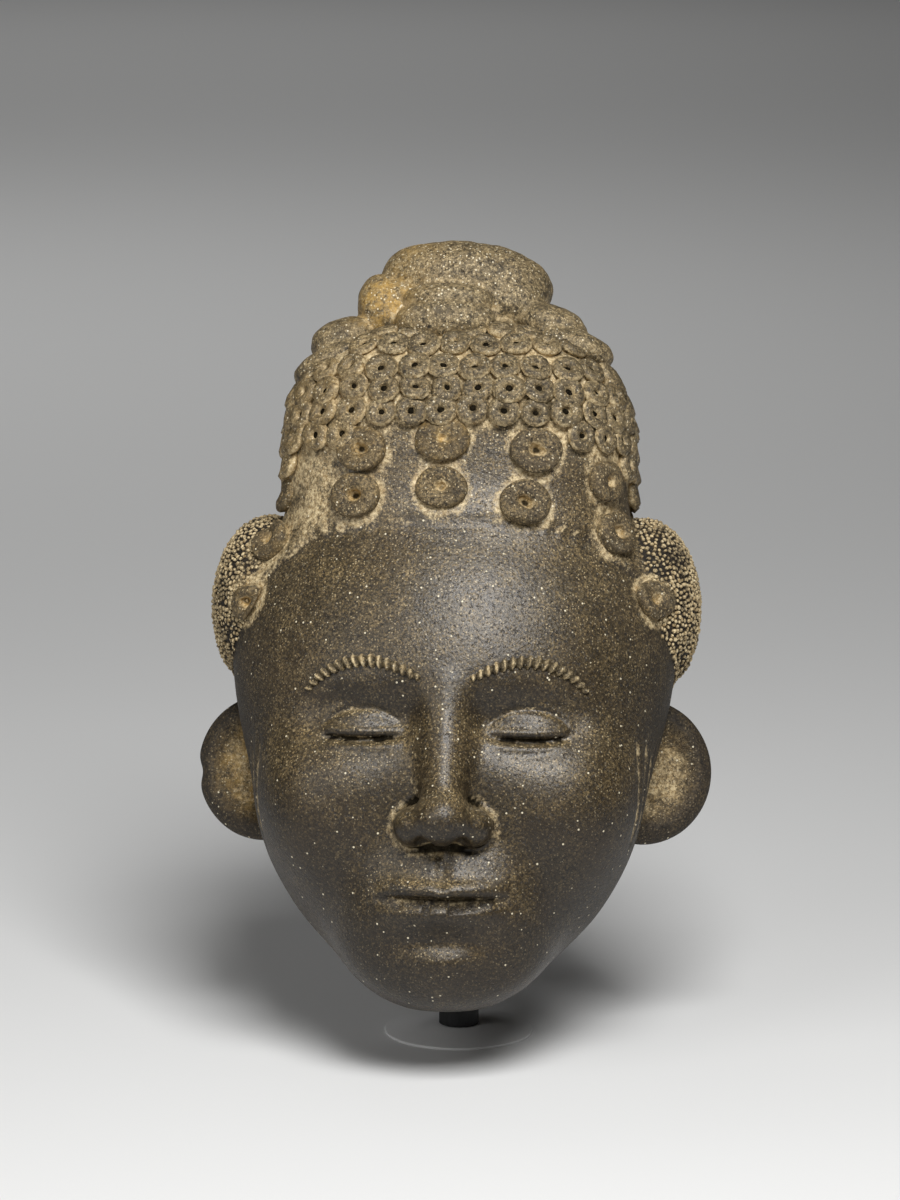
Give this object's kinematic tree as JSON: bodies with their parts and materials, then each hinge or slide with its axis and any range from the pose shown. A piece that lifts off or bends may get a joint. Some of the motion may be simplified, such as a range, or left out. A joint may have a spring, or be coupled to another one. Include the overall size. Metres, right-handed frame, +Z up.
{
  "type": "terracotta memorial head",
  "caption": "Dark burnished terracotta memorial head with ring-curl hair, rosette headband and folded hair knots, leaning back on a black steel rod with a pale round foot.",
  "frame": {"origin": "centre of the underside of the mount's round foot, on the ground", "axes": "+Z up, the face looks along -Y, +X to the right as seen by someone who looks at the face"},
  "size_m": [0.2055, 0.1853, 0.3143],
  "materials": {
    "terracotta": "satin",
    "mount_steel": "matte",
    "mount_foot_paint": "matte"
  },
  "bodies": {
    "root": {"terracotta_head": "terracotta", "mount_rod": "mount_steel", "mount_foot": "mount_foot_paint"}
  },
  "joints": []
}
